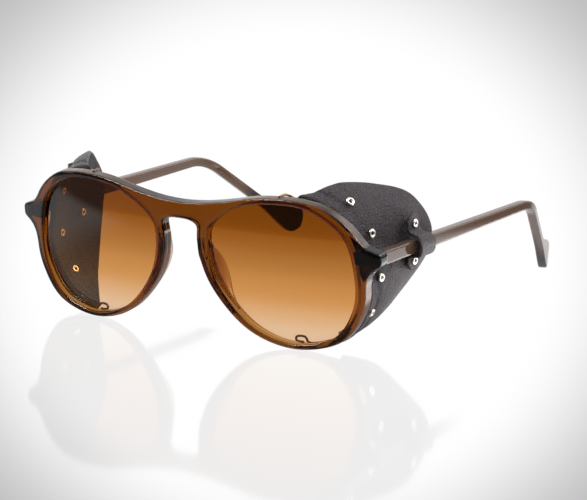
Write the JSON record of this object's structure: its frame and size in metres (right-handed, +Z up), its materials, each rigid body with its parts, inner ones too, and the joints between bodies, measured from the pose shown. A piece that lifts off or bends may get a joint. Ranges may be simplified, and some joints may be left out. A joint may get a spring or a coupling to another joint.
{
  "type": "glacier glasses",
  "caption": "Round-lens acetate glacier glasses with gradient lenses, folding wire-core temples and leather side shields strapped over the arms.",
  "frame": {"origin": "on the resting plane, midway between the temples and midway from the front to the tips", "axes": "+X to the wearer's left, +Y from the front to the tips, +Z up"},
  "size_m": [0.1432, 0.1496, 0.0524],
  "materials": {
    "front_acetate": "polished translucent brown acetate",
    "temple_acetate": "polished translucent taupe acetate",
    "lens": "brown gradient, darker at the top",
    "pad": "translucent, polished",
    "leather": "fine-grained, dark grey, with cut edges",
    "nickel": "plated, bright",
    "steel": "plain"
  },
  "bodies": {
    "front": {"frame_front": "front_acetate", "lens_left": "lens", "lens_right": "lens", "nose_pad_left": "pad", "nose_pad_right": "pad", "hinge_front_left": "steel", "hinge_front_right": "steel", "hinge_screw_left": "steel", "hinge_screw_right": "steel", "shield_wire_left": "nickel", "shield_wire_right": "nickel", "shield_panel_left": "leather", "shield_panel_right": "leather", "hem_eyelets_left": "nickel", "hem_eyelets_right": "nickel"},
    "temple_left": {"temple_left": "temple_acetate", "temple_core_left": "steel", "hinge_temple_left": "steel", "shield_strap_left": "leather", "strap_eyelets_left": "nickel"},
    "temple_right": {"temple_right": "temple_acetate", "temple_core_right": "steel", "hinge_temple_right": "steel", "shield_strap_right": "leather", "strap_eyelets_right": "nickel"}
  },
  "joints": [
    {"name": "temple_fold_left", "type": "hinge", "parent": "front", "child": "temple_left", "pos_m": [0.0634, -0.05947, 0.032], "axis": [0, 0, 1], "range_deg": [0, 80], "deforming": ["shield_panel_left"]},
    {"name": "temple_fold_right", "type": "hinge", "parent": "front", "child": "temple_right", "pos_m": [-0.0634, -0.05947, 0.032], "axis": [0, 0, -1], "range_deg": [0, 50], "deforming": ["shield_panel_right"]}
  ]
}
